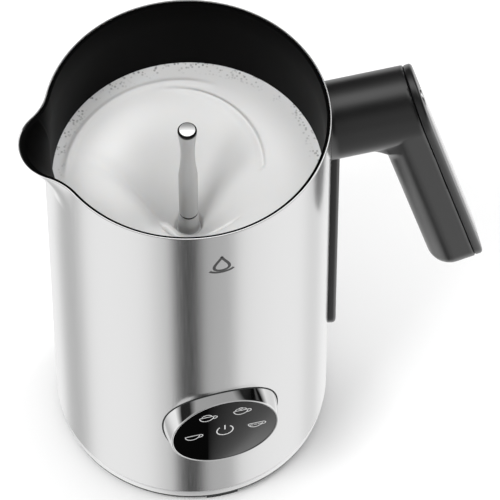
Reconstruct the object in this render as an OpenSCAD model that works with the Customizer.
// Milk frother: a heated jug on a cordless power base, with a whisk driven by magnets.
// Frame: Z is the jug's axis, z = 0 is the surface it stands on.
// +X is the handle, -X the pouring spout, -Y the touch panel.

/* [Jug] */
// Outer diameter of the steel body
jug_d = 110; // [96:1:132]
// Height of the steel body
jug_h = 187.7; // [176:0.1:226]
// Thickness of the outer steel shell
shell_wall = 0.8; // [0.6:0.1:1.2]
// Thickness of the coated inner vessel
vessel_wall = 0.8; // [0.6:0.1:1.2]
// Air gap between the shell and the vessel
wall_gap = 1.0; // [0.8:0.1:1.6]
// Height of the vessel's floor above the body's lower edge
floor_h = 78; // [76:0.5:86]
// Radius of the vessel's corner at its floor
floor_round = 6; // [3:0.5:9]

/* [Spout] */
// Radius of the spout's nose at the rim
nose_r = 17; // [14:0.5:20]
// How far the spout's tip stands out of the round body
spout_reach = 10.5; // [7:0.5:13]
// Radius of the hollow curves beside the nose
spout_blend = 22; // [16:1:30]
// Height over which the spout flares out
spout_h = 20; // [14:1:26]

/* [Touch panel] */
// Radius of the round glass
glass_r = 20.9; // [17:0.1:22]
// Height of the glass's centre above the body's lower edge
panel_h = 50; // [46:0.5:54]
// How far the glass stands in front of the body
panel_proud = 3; // [2:0.1:5]
// How far the chrome flares out round the glass, where it meets the body
bezel_flare = 3.0; // [2:0.1:5]
// Width of the chrome land round the glass
bezel_land = 1.0; // [0.6:0.1:2]
// Thickness of the glass
glass_t = 2; // [1.2:0.1:3]

/* [Handle] */
// Diameter of the level tube that carries the grip
arm_d = 30.5; // [26:0.1:36]
// Height of the tube's axis above the body's lower edge
arm_h = 166; // [150:0.5:168]
// Distance from the body to the grip's seam, at the tube's axis
arm_len = 35.2; // [30:0.1:44]
// Lean of the grip away from the vertical
grip_lean = 13.7; // [6:0.1:18]
// Length of the grip below the tube's axis, along its lean
grip_len = 110.2; // [90:0.1:130]
// Depth of the grip's body, without its cap
grip_depth = 17.1; // [13:0.1:22]
// Width of the grip at its lower end
grip_w = 26.4; // [22:0.1:30]
// Thickness of the cap on the back of the grip
cap_t = 3.3; // [2.4:0.1:4.5]
// Width of the steel strip let into the cap
inlay_w = 9; // [6:0.5:14]
// How far the strip stands proud of the cap
inlay_proud = 0.6; // [0.2:0.1:1]
// Width of the black strip that runs down the body under the handle
rib_w = 24; // [18:0.5:28]
// How far that strip stands out of the body
rib_proud = 3.5; // [2.6:0.1:5]
// Height of the strip's lower end above the body's lower edge
rib_low = 30; // [22:0.5:60]
// Diameter of the threaded post inside the tube
post_d = 8; // [6:0.5:10]
// Diameter of the handle screw
screw_d = 4; // [3:0.5:4.5]

/* [Whisk] */
// Height of the whisk's top above the body's lower edge
whisk_top = 180; // [150:0.5:184]
// Diameter of the chrome knob
knob_d = 7.5; // [7:0.05:10]
// Diameter of the stem's neck
neck_d = 5.5; // [5:0.1:6.5]
// Diameter of the stem below the neck
stem_d = 7.5; // [7.2:0.1:9]
// Diameter of the boss at the stem's foot
boss_d = 8.6; // [8.4:0.1:12]
// Height of the boss above the vessel's floor, with the taper over its joint
boss_h = 48.2; // [36:0.1:52]
// Diameter of the whisk's disc
disc_d = 38; // [32:0.5:42]
// Diameter of the spring wire round the disc
wire_d = 1.2; // [0.8:0.1:1.6]
// Outer diameter of one turn of the spring wire
coil_d = 6; // [5:0.1:8]
// Number of turns of the spring wire
coil_turns = 26; // [18:1:30]
// Diameter of the pin that the whisk sits on
pin_d = 4; // [3:0.1:4.4]
// Height of the pin above the vessel's floor
pin_h = 19; // [15:0.5:22]

/* [Drive] */
// Diameter of the motor
motor_d = 30; // [24:0.5:34]
// Length of the motor
motor_l = 30; // [26:0.5:32]
// Diameter of the motor's shaft
shaft_d = 3; // [2:0.1:4]
// Diameter of the magnet carrier
carrier_d = 34; // [28:0.5:36]
// Thickness of the magnet carrier
carrier_t = 5; // [4:0.1:6]
// Diameter of each magnet
magnet_d = 8; // [6:0.1:8.6]
// Thickness of each magnet
magnet_t = 3; // [2:0.1:3.4]
// Radius of the circle that the magnets sit on
magnet_orbit = 8.2; // [7.8:0.1:8.4]
// Radius of the ring that the heating element follows
heater_ring_r = 34; // [32:0.5:35]
// Diameter of the heating element
element_d = 6; // [5:0.1:7]

/* [Base] */
// Height of the power base, with its feet
base_h = 9; // [8.6:0.1:12]
// How far the base's polished ring sits inside the body's outline
ring_inset = 0.3; // [0.2:0.1:1.5]
// Height of the polished ring
ring_h = 4; // [3.4:0.1:4.6]
// Height of the rubber feet
foot_h = 2; // [1.6:0.1:2.4]
// Width of one foot, as an angle round the axis
foot_angle = 14; // [10:1:24]
// Diameter of the raised connector
socket_d = 26; // [22:0.5:30]
// Height of the raised connector above the base
socket_h = 15; // [10:0.5:18]
// Diameter of the cable hole in the inlet gland
gland_d = 5.2; // [4:0.1:5.4]
// Width of the inlet gland
gland_w = 12; // [9:0.5:16]

/* [Hidden] */

eps = 0.01;
// Gap between pieces that move apart
part_gap = 0.3;
// Radial clearance of a running fit
run_gap = 0.05;
// Radial clearance between pieces fixed together
seat_gap = 0.02;
fine = 96;
coarse = 32;

// Heights and radii of the jug
body_r = jug_d / 2;
jug_z = base_h + part_gap;
rim_z = jug_z + jug_h;
shell_in = body_r - shell_wall;
vessel_off = shell_wall + wall_gap;
bowl_off = vessel_off + vessel_wall;
floor_z = jug_z + floor_h;
bowl_z = floor_z + vessel_wall;
spout_z = rim_z - spout_h;
// Height below the rim over which the vessel closes up to the shell
lip_h = 12;

// Spout outline: nose circle, hollow blend circles and the round body
nose_x = body_r + spout_reach - nose_r;
blend_c = body_r + spout_blend;
blend_n = nose_r + spout_blend;
blend_a = acos((pow(blend_c, 2) + pow(nose_x, 2) - pow(blend_n, 2)) / (2 * blend_c * nose_x));
touch_x = nose_x + nose_r * (blend_c * cos(blend_a) - nose_x) / blend_n;
touch_y = nose_r * blend_c * sin(blend_a) / blend_n;
touch_a = atan2(touch_y, touch_x);
spout_steps = 20;
body_steps = 60;
spout_power = 1.6;
side_angles = [for (i = [0:body_steps]) blend_a + (360 - 2 * blend_a) * i / body_steps];
nose_angles = [for (i = [1:2 * spout_steps - 1]) -blend_a + blend_a * i / spout_steps];
ring_angles = concat(side_angles, nose_angles);

// Touch panel
panel_z = jug_z + panel_h;
glass_y = -(body_r + panel_proud);
pod_bore = glass_r + seat_gap;
pod_r = glass_r + bezel_land;
neck_r = glass_r + 0.9;
bezel_edge = 0.3;
gasket_t = 0.5;
board_t = 1.6;
housing_t = 4.5;
glass_back = glass_y + glass_t;
touch_board_y = glass_back + gasket_t;
housing_y = touch_board_y + board_t;

// Handle
arm_r = arm_d / 2;
arm_z = jug_z + arm_h;
arm_reach = body_r + arm_len;
low_r = grip_w / 2;
grip_drop = grip_len - low_r;
edge_r = 9.5;
web_r = 9;
seam_gap = 0.05;
cap_round = 1.4;
root_flare = 0.6;
bracket_t = 1.2;
bracket_w = rib_w - 5;
bracket_low = jug_z + rib_low + 8;
rib_r = body_r + rib_proud;
post_end = arm_reach - 12.5;
head_x = arm_reach - 5.5;
inner_top = arm_reach - grip_depth / cos(grip_lean);

// Drive train
drive_gap = 0.8;
carrier_z = floor_z - drive_gap - carrier_t;
plate_t = 2.2;
mount_z = floor_z - 11.3;
can_z = mount_z - motor_l;
can_wall = 1;
bush_r = 4;
bush_l = 4;
motor_hole_r = bush_r + 0.3;
post_count = 3;
post_first = 60;
leg_r = 4;
leg_orbit = body_r - 9;
mount_r = shell_in - 1.2;
heat_t = 2;
heat_in = carrier_d / 2 + 3;
heat_out = heater_ring_r + 12;
element_r = element_d / 2;
element_z = floor_z - heat_t - element_r + 0.2;
terminal_a = 20;
magnet_n = 4;

// Jug's underside
cover_z = jug_z + 0.2;
cover_t = 2.5;
cover_top = cover_z + cover_t;
cup_in = socket_d / 2 + 0.4;
cup_wall = 4;
socket_top = base_h + socket_h;
cup_roof = socket_top + 1;
cup_top = cup_roof + 2.3;
cup_flange = cup_in + cup_wall + 3.5;
board_z = cup_top + 5.7;
board_r = leg_orbit - leg_r - 1;
standoff_orbit = board_r - 6;
transformer = [15, 22, 14];
relay = [16, 12, 11];
board_terminal = [12, 9, 8];
// Radius and height of each capacitor
big_capacitor = [5, 12];
small_capacitor = [4, 10];
contact_r = [1.7, 5.2, 8.7];
contact_w = 1.8;
contact_rise = 0.4;
screw_r = 1.5;
screw_head_r = 3.2;

// Base
ring_out = body_r - ring_inset;
ring_z = base_h - ring_h;
ring_bulge = 0.3;
ring_foot = ring_out - ring_bulge;
tray_out = ring_foot - 0.5;
tray_step = tray_out - 0.8;
tray_low = tray_out - 1;
tray_top_t = 2;
floor_t = 1.6;
hollow_z = base_h - tray_top_t;
base_cover_r = tray_low - 2.3;
foot_in = tray_low - 9.5;
foot_out = tray_low - 0.1;
gland_z = foot_h + 0.2;
gland_top = base_h - 1;
gland_in = tray_step - 9.8;
boss_orbit = tray_step - 15.1;

// Whisk
top_z = jug_z + whisk_top;
pin_r = pin_d / 2;
pin_foot_r = 6;
pin_foot_t = 1;
bush_in = pin_r + run_gap;
bush_out = bush_in + 0.9;
sleeve_z = bowl_z + pin_foot_t + part_gap;
sleeve_top = bowl_z + pin_h - 1;
hub_in = bush_out + run_gap;
disc_z = sleeve_z + 1.2;
disc_t = 6;
disc_r = disc_d / 2;
coil_ring_r = disc_r - coil_d / 2;
coil_z = disc_z + disc_t / 2;
disc_edge_r = coil_ring_r - 0.3 * coil_d;
boss_top = bowl_z + boss_h;
knob_h = 1.8;
neck_low = top_z - 31;
joint_z = boss_top - 4.5;
pocket_z = disc_z + 1.2;

// Distance from the axis to the outline of a skin that lies `off` inside the outer surface
function rim_r(a, off) =
  let (t = abs(a > 180 ? a - 360 : a))
  t >= blend_a ? body_r - off
  : t >= touch_a
  ? blend_c * cos(blend_a - t)
    - sqrt(pow(spout_blend + off, 2) - pow(blend_c * sin(blend_a - t), 2))
  : nose_x * cos(t) + sqrt(pow(nose_r - off, 2) - pow(nose_x * sin(t), 2));

// Share of the spout's flare that is reached at height z
function flare(z) = z <= spout_z ? 0 : pow((z - spout_z) / spout_h, spout_power);

// One ring of points at height z, drawn in by `inset` from the skin that lies `off` inside
function ring(z, off, inset = 0) = [
  for (a = ring_angles)
    let (r = body_r - off + (rim_r(a, off) - body_r + off) * flare(z) - inset)
    [-r * cos(a), -r * sin(a), z]
];

// One ring of the vessel, whose skins draw out to the shell towards the rim
function vessel_ring(z, off) =
  let (share = max(0, (z - rim_z + lip_h) / lip_h))
  ring(z, off - (wall_gap - 0.1) * pow(share, 2));

// Heights at which the skins have rings in the spout's zone
function spout_levels(top) = [for (i = [0:7]) spout_z + (top - spout_z) * i / 7];

// Joins rings into a solid. Closed: the last ring meets the first. Open: both ends get a face.
module skin(rings, closed) {
  n = len(rings[0]);
  m = len(rings);
  last = closed ? m - 1 : m - 2;
  sides = [
    for (j = [0:last], i = [0:n - 1])
      let (k = (i + 1) % n, up = (j + 1) % m)
      each [
        [j * n + i, j * n + k, up * n + k],
        [j * n + i, up * n + k, up * n + i]
      ]
  ];
  ends = closed ? [] : [
    [for (i = [0:n - 1]) n - 1 - i],
    [for (i = [0:n - 1]) (m - 1) * n + i]
  ];
  polyhedron(points = [for (r = rings) each r], faces = concat(sides, ends), convexity = 6);
}

// A tube or disc between two radii and two heights
module washer(r_out, r_in, z0, z1) {
  translate([0, 0, z0])
    difference() {
      cylinder(r = r_out, h = z1 - z0, $fn = fine);
      translate([0, 0, -1])
        cylinder(r = r_in, h = z1 - z0 + 2, $fn = fine);
    }
}

// A plain cylinder between two heights
module rod(r, z0, z1, sides = coarse) {
  translate([0, 0, z0])
    cylinder(r = r, h = z1 - z0, $fn = sides);
}

// A cylinder along +Y between two places
module rod_y(r, y0, y1, sides = fine) {
  translate([0, y0, 0])
    rotate([-90, 0, 0])
      cylinder(r = r, h = y1 - y0, $fn = sides);
}

// A cylinder along +X between two places
module rod_x(r, x0, x1, sides = fine) {
  translate([x0, 0, 0])
    rotate([0, 90, 0])
      cylinder(r = r, h = x1 - x0, $fn = sides);
}

// Repeats its children n times round the axis at a radius
module around(n, radius, first = 0) {
  for (i = [0:n - 1])
    rotate([0, 0, first + 360 * i / n])
      translate([radius, 0, 0])
        children();
}

// Places its children in the grip's own frame: +X out of its back, -Z down the grip
module on_grip() {
  translate([arm_reach, 0, arm_z])
    rotate([0, -grip_lean, 0])
      children();
}

// ---- Jug ----

module outer_shell() {
  top = rim_z - vessel_wall;
  levels = concat([jug_z], spout_levels(top));
  n = len(levels);
  outer = [for (z = levels) ring(z, 0)];
  inner = [for (i = [0:n - 1]) ring(levels[n - 1 - i], shell_wall)];
  color([0.80, 0.80, 0.80])
    difference() {
      skin(concat(outer, inner), true);
      translate([0, 0, panel_z])
        rod_y(neck_r + seat_gap, -body_r - 5, -body_r / 2);
    }
}

module inner_vessel() {
  arc = [for (i = [0:4]) 90 * i / 4];
  low_out = [for (a = arc) ring(floor_z + floor_round * (1 - cos(a)), vessel_off,
                                floor_round * (1 - sin(a)))];
  bowl_round = floor_round - vessel_wall;
  low_in = [for (a = arc) ring(bowl_z + bowl_round * (1 - sin(a)), bowl_off,
                               bowl_round * (1 - cos(a)))];
  levels = spout_levels(rim_z);
  up_out = [for (z = spout_levels(rim_z - vessel_wall)) vessel_ring(z, vessel_off)];
  lip = [ring(rim_z - vessel_wall, 0.1), ring(rim_z, 0.1)];
  n = len(levels);
  down_in = [for (i = [0:n - 1]) vessel_ring(levels[n - 1 - i], bowl_off)];
  color([0.10, 0.10, 0.10])
    skin(concat(low_out, up_out, lip, down_in, low_in), false);
}

module vessel_seal() {
  z0 = floor_z + floor_round + 2;
  color([0.25, 0.25, 0.25])
    washer(shell_in - 0.08, body_r - vessel_off + 0.02, z0, z0 + 4);
}

module whisk_pin() {
  color([0.75, 0.75, 0.76])
    rotate_extrude($fn = fine)
      polygon([
        [0, bowl_z], [pin_foot_r, bowl_z], [pin_foot_r, bowl_z + pin_foot_t],
        [pin_r, bowl_z + pin_foot_t], [pin_r, bowl_z + pin_h - 0.6],
        [pin_r - 0.6, bowl_z + pin_h], [0, bowl_z + pin_h]
      ]);
}

// ---- Touch panel ----

module control_bezel() {
  depth = body_r - sqrt(pow(body_r, 2) - pow(neck_r, 2)) + panel_proud;
  foot_r = pod_r + bezel_flare;
  color([0.85, 0.85, 0.86])
    difference() {
      translate([0, glass_y, panel_z])
        rotate([-90, 0, 0])
          rotate_extrude($fn = fine)
            polygon([
              [pod_bore, 0], [pod_r - bezel_edge, 0], [pod_r, bezel_edge],
              [foot_r, bezel_edge + panel_proud], [foot_r + 0.6, depth + 2], [pod_bore, depth + 2]
            ]);
      pod_seat();
      rod(shell_in - 0.7, jug_z, rim_z, fine);
    }
}

// Everything inside the body's outer surface, except the neck that passes through the shell
module pod_seat() {
  difference() {
    rod(body_r + eps, jug_z, rim_z, fine);
    translate([0, 0, panel_z])
      rod_y(neck_r, -body_r - 10, 0);
  }
}

module control_glass() {
  color([0.03, 0.03, 0.03])
    translate([0, 0, panel_z])
      rod_y(glass_r, glass_y + 0.1, glass_back);
}

module glass_gasket() {
  color([0.15, 0.15, 0.15])
    translate([0, 0, panel_z])
      difference() {
        rod_y(glass_r, glass_back, touch_board_y);
        rod_y(glass_r - 2, glass_back - 1, touch_board_y + 1);
      }
}

module control_board() {
  color([0.10, 0.35, 0.18])
    translate([0, 0, panel_z])
      rod_y(glass_r - 0.4, touch_board_y, housing_y);
}

module control_housing() {
  color([0.12, 0.12, 0.12])
    translate([0, 0, panel_z])
      difference() {
        rod_y(glass_r - 0.2, housing_y, housing_y + housing_t);
        rod_y(glass_r - 2.2, housing_y - 1, housing_y + housing_t - 1.5);
      }
}

// ---- Handle ----

// A round puck with its inner edge rounded, lying along the grip's depth
module grip_puck(r, depth, round_r) {
  arc = [for (i = [0:6]) 90 * i / 6];
  rotate([0, -90, 0])
    rotate_extrude($fn = coarse)
      polygon(concat(
        [[0, 0], [r, 0]],
        [for (a = arc) [r - round_r * (1 - cos(a)), depth - round_r * (1 - sin(a))]],
        [[0, depth]]
      ));
}

module grip_web() {
  corner = [inner_top + arm_r * tan(grip_lean), arm_z - arm_r];
  half = (90 + grip_lean) / 2;
  run = web_r / tan(half);
  down = [sin(grip_lean), -cos(grip_lean)];
  centre = corner + [-run, -web_r];
  width = 2 * (low_r - edge_r + 3);
  translate([0, width / 2, 0])
    rotate([90, 0, 0])
      linear_extrude(height = width)
        difference() {
          polygon([
            corner + [6, 6], corner + [-run, 6], corner + [-run, 0], centre,
            corner + run * down, corner + run * down + [6, 0]
          ]);
          translate(centre)
            circle(r = web_r, $fn = fine);
        }
}

module handle_body() {
  color([0.07, 0.07, 0.07])
    difference() {
      union() {
        intersection() {
          translate([0, 0, arm_z])
            rod_x(arm_r, body_r / 2, arm_reach + 20);
          on_grip()
            translate([-200 - grip_depth / 2, -arm_d, -arm_d])
              cube([200, 2 * arm_d, 2 * arm_d]);
        }
        translate([body_r - 3, 0, arm_z])
          rotate([0, 90, 0])
            rotate_extrude($fn = fine)
              polygon([[0, 0], [arm_r + root_flare, 0], [arm_r + root_flare, 3.6],
                       [arm_r - 1, 3.6 + root_flare + 1], [0, 3.6 + root_flare + 1]]);
        hull() {
          on_grip()
            grip_puck(arm_r, grip_depth, edge_r);
          on_grip()
            translate([0, 0, -grip_drop])
              grip_puck(low_r, grip_depth, edge_r);
        }
        grip_web();
      }
      rod(body_r + seam_gap, jug_z, rim_z + 1, fine);
      rotate([0, 0, -asin(bracket_w / 2 / body_r) - 0.3])
        rotate_extrude(angle = 2 * asin(bracket_w / 2 / body_r) + 0.6, $fn = fine)
          translate([body_r - 1, arm_z - arm_r - 8])
            square([1 + seam_gap + bracket_t, arm_r * 2 + 4]);
      translate([0, 0, arm_z])
        rod_x(post_d / 2 + 0.1, body_r - 5, post_end + 0.3);
      translate([0, 0, arm_z])
        rod_x(screw_d / 2 + 0.2, post_end, head_x + 1);
      translate([0, 0, arm_z])
        rod_x(screw_d + 0.2, head_x - 3, arm_reach + 20);
    }
}

module handle_rib() {
  half = asin(rib_w / 2 / body_r);
  top = arm_z - arm_r * 0.75;
  low = jug_z + rib_low;
  color([0.08, 0.08, 0.08])
    difference() {
      intersection() {
        rotate([0, 0, -half])
          rotate_extrude(angle = 2 * half, $fn = fine)
            translate([body_r + seam_gap, low])
              square([rib_proud - seam_gap, top - low]);
        hull() {
          translate([0, 0, low + rib_w / 2])
            rod_x(rib_w / 2 + 0.02, body_r / 2, rib_r + 2, coarse);
          translate([body_r / 2, -rib_w / 2 - 0.02, top - 1])
            cube([body_r, rib_w + 0.04, 2]);
        }
      }
      rotate([0, 0, -half])
        rotate_extrude(angle = 2 * half, $fn = fine)
          translate([body_r - 1, bracket_low - 0.2])
            square([1 + seam_gap + bracket_t, top - bracket_low + 5]);
      translate([0, 0, arm_z])
        rod_x(arm_r + root_flare + 0.05, body_r / 2, body_r + 20);
    }
}

module handle_cap() {
  color([0.06, 0.06, 0.06])
    difference() {
      hull() {
        on_grip()
          translate([seam_gap, 0, 0])
            mirror([1, 0, 0])
              grip_puck(arm_r - 0.3, cap_t - seam_gap, cap_round);
        on_grip()
          translate([seam_gap, 0, -grip_drop])
            mirror([1, 0, 0])
              grip_puck(low_r - 0.3, cap_t - seam_gap, cap_round);
      }
      on_grip()
        inlay_outline(cap_t - 1.2, 10, 0.05);
    }
}

// The strip's outline with round ends, between two depths
module inlay_outline(x0, x1, gap) {
  translate([x0, 0, 0])
    rotate([0, 90, 0])
      linear_extrude(height = x1 - x0)
        union() {
          circle(d = inlay_w + 2 * gap, $fn = fine);
          translate([0, -inlay_w / 2 - gap])
            square([grip_drop, inlay_w + 2 * gap]);
          translate([grip_drop, 0])
            circle(d = inlay_w + 2 * gap, $fn = fine);
        }
}

module handle_inlay() {
  color([0.82, 0.82, 0.83])
    on_grip()
      inlay_outline(cap_t - 1.2, cap_t + inlay_proud, 0);
}

module handle_bracket() {
  half = asin(bracket_w / 2 / body_r);
  top = arm_z + arm_r - 5;
  color([0.70, 0.70, 0.72])
    difference() {
      union() {
        rotate([0, 0, -half])
          rotate_extrude(angle = 2 * half, $fn = fine)
            translate([body_r + 0.02, bracket_low])
              square([bracket_t - 0.02, top - bracket_low]);
        translate([0, 0, arm_z])
          rod_x(post_d / 2, body_r + bracket_t / 2, post_end);
      }
      translate([0, 0, arm_z])
        rod_x(screw_d / 2 + seat_gap, post_end - 12, post_end + 1);
    }
}

module handle_screw() {
  color([0.60, 0.60, 0.62])
    translate([0, 0, arm_z])
      difference() {
        union() {
          rod_x(screw_d / 2, post_end - 10, head_x - 2.9);
          rod_x(screw_d, head_x - 2.98, head_x);
        }
        translate([head_x - 1.5, 0, 0])
          rotate([0, 90, 0])
            cylinder(d = screw_d, h = 3, $fn = 6);
      }
}

// ---- Heater ----

module heater() {
  span = 360 - 2 * terminal_a;
  color([0.72, 0.72, 0.70])
    union() {
      washer(heat_out, heat_in, floor_z - heat_t, floor_z);
      rotate([0, 0, 90 + terminal_a])
        rotate_extrude(angle = span, $fn = fine)
          translate([heater_ring_r, element_z])
            circle(r = element_r, $fn = coarse);
      for (s = [-1, 1])
        rotate([0, 0, 90 + s * terminal_a])
          translate([heater_ring_r, 0, 0])
            rod(element_r * 0.8, element_z - 4, element_z);
    }
}

module temperature_sensor() {
  color([0.55, 0.40, 0.20])
    rotate([0, 0, 90])
      translate([heater_ring_r, 0, 0])
        rod(3, floor_z - heat_t - 5, floor_z - heat_t);
}

module thermal_fuse() {
  color([0.80, 0.75, 0.60])
    rotate([0, 0, 225])
      translate([(heater_ring_r + element_r + heat_out) / 2, 0, 0])
        rod(2.2, floor_z - heat_t - 6, floor_z - heat_t);
}

// ---- Motor and drive ----

module motor_mount() {
  color([0.30, 0.30, 0.32])
    difference() {
      union() {
        rod(mount_r, mount_z, mount_z + plate_t, fine);
        around(post_count, leg_orbit, post_first)
          rod(leg_r, cover_top, mount_z + eps);
      }
      rod(motor_hole_r, mount_z - 1, mount_z + plate_t + 1, fine);
      around(2, motor_d * 0.34, 0)
        rod(screw_r + seat_gap, mount_z - 1, mount_z + plate_t + 1);
      around(post_count, leg_orbit, post_first)
        rod(screw_r + seat_gap, cover_top - 1, cover_top + 12);
      translate([0, 0, panel_z])
        rod_y(neck_r + 1.2, -body_r - 5, housing_y + housing_t + 1);
      for (s = [-1, 1])
        rotate([0, 0, 90 + s * terminal_a])
          translate([heater_ring_r, 0, 0])
            rod(element_r, mount_z - 1, mount_z + plate_t + 1);
      rotate([0, 0, 90])
        translate([heater_ring_r, 0, 0])
          rod(2, mount_z - 1, mount_z + plate_t + 1);
    }
}

module motor_can() {
  color([0.65, 0.66, 0.68])
    difference() {
      rod(motor_d / 2, can_z, mount_z, fine);
      rod(motor_d / 2 - can_wall, can_z + can_wall, mount_z - can_wall, fine);
      rod(bush_r + seat_gap, can_z - 1, mount_z + 1, fine);
      around(2, motor_d * 0.34, 0)
        rod(screw_r + seat_gap, mount_z - can_wall - 1, mount_z + 1);
    }
}

module motor_bushes() {
  color([0.75, 0.58, 0.32])
    union() {
      washer(bush_r, shaft_d / 2 + run_gap, can_z, can_z + bush_l);
      washer(bush_r, shaft_d / 2 + run_gap, mount_z - bush_l, mount_z + 1);
    }
}

module motor_magnets() {
  r_out = motor_d / 2 - can_wall - seat_gap;
  color([0.20, 0.20, 0.22])
    for (s = [0, 180])
      rotate([0, 0, s + 105])
        rotate_extrude(angle = 150, $fn = fine)
          translate([r_out - 2, can_z + bush_l + 2])
            square([2, motor_l - 2 * bush_l - 4]);
}

module motor_screws() {
  color([0.60, 0.60, 0.62])
    around(2, motor_d * 0.34, 0)
      union() {
        rod(screw_r, mount_z - can_wall - 1.5, mount_z + plate_t + 0.1);
        rod(2.6, mount_z + plate_t, mount_z + plate_t + 1.4);
      }
}

module motor_shaft() {
  color([0.75, 0.75, 0.77])
    rod(shaft_d / 2, can_z - 1.5, carrier_z + carrier_t - 1.5, fine);
}

module motor_armature() {
  color([0.55, 0.32, 0.15])
    washer(motor_d / 2 - can_wall - 3.2, shaft_d / 2 + seat_gap,
           can_z + bush_l + 2, mount_z - bush_l - 2);
}

module magnet_carrier() {
  color([0.85, 0.85, 0.82])
    difference() {
      union() {
        rod(carrier_d / 2, carrier_z, carrier_z + carrier_t, fine);
        rod(4.5, carrier_z - 2.5, carrier_z + eps, fine);
      }
      rod(shaft_d / 2 + seat_gap, carrier_z - 4, carrier_z + carrier_t - 1.5 + seat_gap, fine);
      around(magnet_n, magnet_orbit, 45)
        rod(magnet_d / 2 + seat_gap, carrier_z + carrier_t - magnet_t - seat_gap,
            carrier_z + carrier_t + 1, fine);
    }
}

module drive_magnets() {
  color([0.62, 0.62, 0.64])
    around(magnet_n, magnet_orbit, 45)
      rod(magnet_d / 2, carrier_z + carrier_t - magnet_t, carrier_z + carrier_t, fine);
}

// ---- Electronics ----

module power_board() {
  color([0.10, 0.35, 0.18])
    difference() {
      rod(board_r, board_z, board_z + board_t, fine);
      around(3, standoff_orbit, 0)
        rod(1.6, board_z - 1, board_z + board_t + 1);
    }
}

// Transformer, relay, two capacitors and the terminal block
module board_parts() {
  top = board_z + board_t;
  color([0.20, 0.20, 0.25])
    union() {
      translate([-34, -11, top])
        cube(transformer);
      translate([10, -32, top])
        cube(relay);
      translate([26, 14, 0])
        rod(big_capacitor[0], top, top + big_capacitor[1]);
      translate([18, 26, 0])
        rod(small_capacitor[0], top, top + small_capacitor[1]);
      translate([-27, 17, top])
        cube(board_terminal);
    }
}

module wiring() {
  top = board_z + board_t;
  color([0.80, 0.15, 0.10])
    union() {
      for (s = [-1, 1])
        rotate([0, 0, 90 + s * terminal_a])
          translate([heater_ring_r, 0, 0])
            rod(1.2, top, element_z - 4);
      rotate([0, 0, 90])
        translate([heater_ring_r, 0, 0])
          rod(0.9, top, floor_z - heat_t - 5);
    }
}

module jug_bottom_cover() {
  color([0.10, 0.10, 0.11])
    difference() {
      union() {
        rod(shell_in - 0.15, cover_z, cover_top, fine);
        around(3, standoff_orbit, 0)
          rod(3, cover_top - eps, board_z);
      }
      rod(cup_in + cup_wall + 0.1, cover_z - 1, cover_top + 1, fine);
      around(post_count, leg_orbit, post_first)
        rod(screw_r + 0.1, cover_z - 1, cover_top + 1);
      around(post_count, leg_orbit, post_first)
        rod(screw_head_r + 0.1, cover_z - 1, cover_z + 1.6);
      around(3, standoff_orbit, 0)
        rod(1.3, board_z - 8, board_z + 1);
    }
}

module jug_connector() {
  color([0.14, 0.14, 0.15])
    difference() {
      union() {
        rod(cup_in + cup_wall, cover_z, cup_top, fine);
        rod(cup_flange, cover_top, cover_top + 1.5, fine);
      }
      rod(cup_in, cover_z - 1, cup_roof, fine);
      for (r = contact_r)
        translate([r + contact_w / 2, 0, 0])
          rod(0.7 + seat_gap, cup_roof - 1, cup_top + 1);
    }
}

module jug_contacts() {
  color([0.80, 0.65, 0.30])
    for (r = contact_r)
      translate([r + contact_w / 2, 0, 0])
        rod(0.7, socket_top + contact_rise + part_gap, cup_top + 2);
}

module cover_screws() {
  color([0.60, 0.60, 0.62])
    around(post_count, leg_orbit, post_first)
      union() {
        rod(screw_head_r, cover_z + 0.1, cover_z + 1.6);
        rod(screw_r, cover_z + 1.5, cover_top + 10);
      }
}

// ---- Power base ----

// The space that the inlet gland takes out of the base, with a gap all round
module gland_space(gap) {
  translate([-gland_w / 2 - gap, gland_in - gap, gland_z - gap])
    cube([gland_w + 2 * gap, 30, gland_top - gland_z + 2 * gap]);
}

module base_tray() {
  color([0.13, 0.14, 0.14])
    difference() {
      union() {
        rotate_extrude($fn = fine)
          polygon([
            [0, hollow_z], [tray_low - 2.2, hollow_z], [tray_low - 2.2, foot_h],
            [tray_low, foot_h], [tray_out, foot_h + 1.2], [tray_out, ring_z - 0.05],
            [tray_step, ring_z - 0.05], [tray_step, base_h - 0.1], [0, base_h - 0.1]
          ]);
        around(3, boss_orbit, 90)
          rod(4, foot_h + floor_t + 0.05, hollow_z + eps);
      }
      rod(socket_d / 2 + 0.05, hollow_z - 1, base_h + 1, fine);
      around(3, boss_orbit, 90)
        rod(screw_r + seat_gap, foot_h, base_h - 1);
      gland_space(0.05);
      translate([-gland_w / 2 - 0.05, gland_in + 4, -1])
        cube([gland_w + 0.1, 30, gland_z + 1.5]);
    }
}

module base_ring() {
  bulge = [for (i = [0:6]) 90 * i / 6];
  color([0.86, 0.86, 0.87])
    difference() {
      rotate_extrude($fn = fine)
        polygon(concat(
          [[tray_step + 0.05, ring_z], [ring_foot, ring_z]],
          [for (a = bulge)
            [ring_foot + ring_bulge * sin(a), ring_z + 0.3 + (ring_h - 1.1) * (1 - cos(a))]],
          [[ring_out - 0.1, base_h - 0.4], [ring_out - 0.5, base_h], [tray_step + 0.05, base_h]]
        ));
      gland_space(0.05);
    }
}

module base_cover() {
  color([0.16, 0.17, 0.17])
    difference() {
      rod(base_cover_r, foot_h, foot_h + floor_t, fine);
      around(3, boss_orbit, 90)
        rod(screw_r + 0.1, foot_h - 1, foot_h + floor_t + 1);
      around(3, boss_orbit, 90)
        rod(3.1, foot_h - 1, foot_h + 0.9);
      gland_space(0.05);
    }
}

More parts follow.
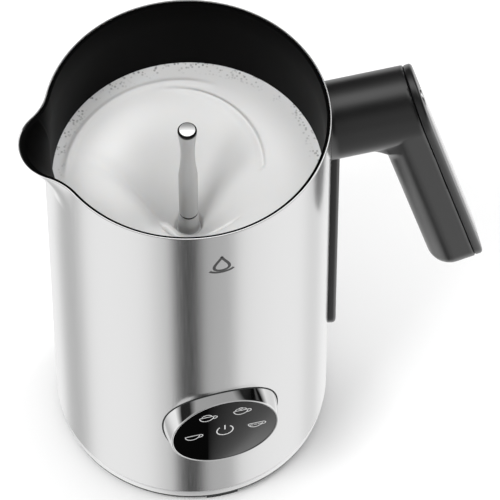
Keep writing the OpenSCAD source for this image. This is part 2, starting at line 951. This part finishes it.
module base_socket() {
  color([0.14, 0.14, 0.15])
    difference() {
      union() {
        rod(socket_d / 2, hollow_z - 0.4, socket_top - 0.6, fine);
        translate([0, 0, socket_top - 0.6])
          cylinder(r1 = socket_d / 2, r2 = socket_d / 2 - 0.6, h = 0.6, $fn = fine);
        rod(socket_d / 2 + 4, hollow_z - 1.6, hollow_z - 0.05, fine);
      }
      for (r = contact_r)
        washer(r + contact_w + seat_gap, r - seat_gap, socket_top - 4 - seat_gap, socket_top + 1);
      rod(socket_d / 2 - 3, hollow_z - 3, socket_top - 6, fine);
    }
}

module base_contacts() {
  color([0.80, 0.65, 0.30])
    for (r = contact_r)
      washer(r + contact_w, r, socket_top - 4, socket_top + contact_rise);
}

module base_terminal() {
  z0 = foot_h + floor_t + 0.05;
  color([0.88, 0.88, 0.84])
    difference() {
      translate([-9, socket_d / 2 + 6, z0])
        cube([18, 9, hollow_z - 0.2 - z0]);
      for (x = [-5.5, 0, 5.5])
        translate([x, socket_d / 2 + 10.5, 0])
          rod(1.3, z0 + 1, hollow_z + 1);
    }
}

// One rubber moulding: a thin ring that joins three feet
module rubber_feet() {
  color([0.10, 0.10, 0.10])
    difference() {
      washer(foot_out, foot_in, 0, foot_h);
      for (a = [30, 150, 270])
        rotate([0, 0, a + foot_angle / 2])
          rotate_extrude(angle = 120 - foot_angle, $fn = fine)
            translate([foot_in + 3.5, -1])
              square([foot_out, foot_h + 2]);
    }
}

module cord_gland() {
  mid = (gland_z + gland_top) / 2;
  color([0.08, 0.08, 0.08])
    difference() {
      intersection() {
        gland_space(0);
        rod(ring_out - 0.4, 0, base_h, fine);
      }
      translate([0, 0, mid])
        rod_y(gland_d / 2, gland_in - 5, body_r + 10);
    }
}

module base_screws() {
  color([0.60, 0.60, 0.62])
    around(3, boss_orbit, 90)
      union() {
        rod(2.9, foot_h + 0.05, foot_h + 0.9);
        rod(screw_r, foot_h + 0.8, base_h - 1.6);
      }
}

// ---- Whisk ----

module whisk_bush() {
  color([0.90, 0.90, 0.88])
    union() {
      washer(bush_out, bush_in, sleeve_z, sleeve_top);
      washer(pin_foot_r - 0.5, bush_in, sleeve_z, sleeve_z + 0.9);
    }
}

module whisk_stem() {
  neck_r1 = neck_d / 2;
  stem_r = stem_d / 2;
  boss_r = boss_d / 2;
  neck_top = top_z - knob_h - 0.02;
  waist = [
    for (i = [0:16])
      [stem_r - (stem_r - neck_r1) * sin(180 * i / 16), neck_low + (neck_top - neck_low) * i / 16]
  ];
  color([0.55, 0.55, 0.56])
    difference() {
      rotate_extrude($fn = fine)
        polygon(concat(
          [[0, disc_z + disc_t + 0.02], [boss_r + 2, disc_z + disc_t + 0.02],
           [boss_r, disc_z + disc_t + 3], [boss_r - 0.1, joint_z - 6], [stem_r + 0.15, joint_z],
           [stem_r - 0.25, joint_z + 0.3], [stem_r - 0.25, joint_z + 0.9],
           [stem_r, joint_z + 1.2]],
          waist,
          [[0, neck_top]]
        ));
      rod(hub_in, disc_z, sleeve_top + 0.3, fine);
      rod(pin_r + 0.4, disc_z, bowl_z + pin_h + 0.4, fine);
      rod(1.5 + seat_gap, top_z - knob_h - 8, top_z, fine);
    }
}

module whisk_knob() {
  knob_r = knob_d / 2;
  knob_z = top_z - knob_h;
  edge = 0.9;
  dome = 0.2;
  arc = [for (i = [0:5]) 90 * i / 5];
  color([0.85, 0.85, 0.86])
    rotate_extrude($fn = fine)
      polygon(concat(
        [[0, knob_z - 7.5], [1.5, knob_z - 7.5], [1.5, knob_z], [knob_r - 0.3, knob_z],
         [knob_r, knob_z + 0.3]],
        [for (a = arc) [knob_r - edge * (1 - cos(a)), top_z - dome - edge * (1 - sin(a))]],
        [[0, top_z]]
      ));
}

module whisk_disc() {
  color([0.12, 0.12, 0.12])
    difference() {
      rod(disc_edge_r, disc_z, disc_z + disc_t, fine);
      rod(hub_in, disc_z - 1, disc_z + disc_t + 1, fine);
      rod(pin_foot_r, disc_z - 1, disc_z + 0.1, fine);
      around(magnet_n, magnet_orbit, 45)
        rod(magnet_d / 2 + seat_gap, disc_z - 1, pocket_z + magnet_t + seat_gap, fine);
      rotate_extrude($fn = fine)
        translate([coil_ring_r, coil_z])
          circle(d = coil_d + 2 * run_gap, $fn = coarse);
    }
}

// Spring wire wound round the disc's edge: a closed helix on a ring
module whisk_coil() {
  turn_r = (coil_d - wire_d) / 2;
  per_turn = 12;
  sides = 6;
  n = coil_turns * per_turn;
  function centre(i) =
    let (a = 360 * i / n, b = 360 * i / per_turn, r = coil_ring_r + turn_r * cos(b))
    [r * cos(a), r * sin(a), coil_z + turn_r * sin(b)];
  function unit(v) = v / norm(v);
  function section(i) =
    let (
      c = centre(i),
      t = unit(centre(i + 1) - centre(i - 1)),
      a = 360 * i / n,
      q = unit(cross(t, c - [coil_ring_r * cos(a), coil_ring_r * sin(a), coil_z])),
      p = cross(q, t)
    )
    [for (k = [0:sides - 1]) c + wire_d / 2 * (cos(360 * k / sides) * p + sin(360 * k / sides) * q)];
  color([0.80, 0.80, 0.81])
    skin([for (i = [0:n - 1]) section(i)], true);
}

module whisk_magnets() {
  color([0.62, 0.62, 0.64])
    around(magnet_n, magnet_orbit, 45)
      rod(magnet_d / 2, pocket_z, pocket_z + magnet_t, fine);
}

module magnet_cover() {
  color([0.14, 0.14, 0.14])
    around(magnet_n, magnet_orbit, 45)
      rod(magnet_d / 2 - seat_gap, disc_z + 0.2, pocket_z, fine);
}

outer_shell();
inner_vessel();
vessel_seal();
whisk_pin();
control_bezel();
control_glass();
glass_gasket();
control_board();
control_housing();
handle_body();
handle_rib();
handle_cap();
handle_inlay();
handle_bracket();
handle_screw();
heater();
temperature_sensor();
thermal_fuse();
motor_mount();
motor_can();
motor_bushes();
motor_magnets();
motor_screws();
motor_shaft();
motor_armature();
magnet_carrier();
drive_magnets();
power_board();
board_parts();
wiring();
jug_bottom_cover();
jug_connector();
jug_contacts();
cover_screws();
base_tray();
base_ring();
base_cover();
base_socket();
base_contacts();
base_terminal();
rubber_feet();
cord_gland();
base_screws();
whisk_bush();
whisk_stem();
whisk_knob();
whisk_disc();
whisk_coil();
whisk_magnets();
magnet_cover();
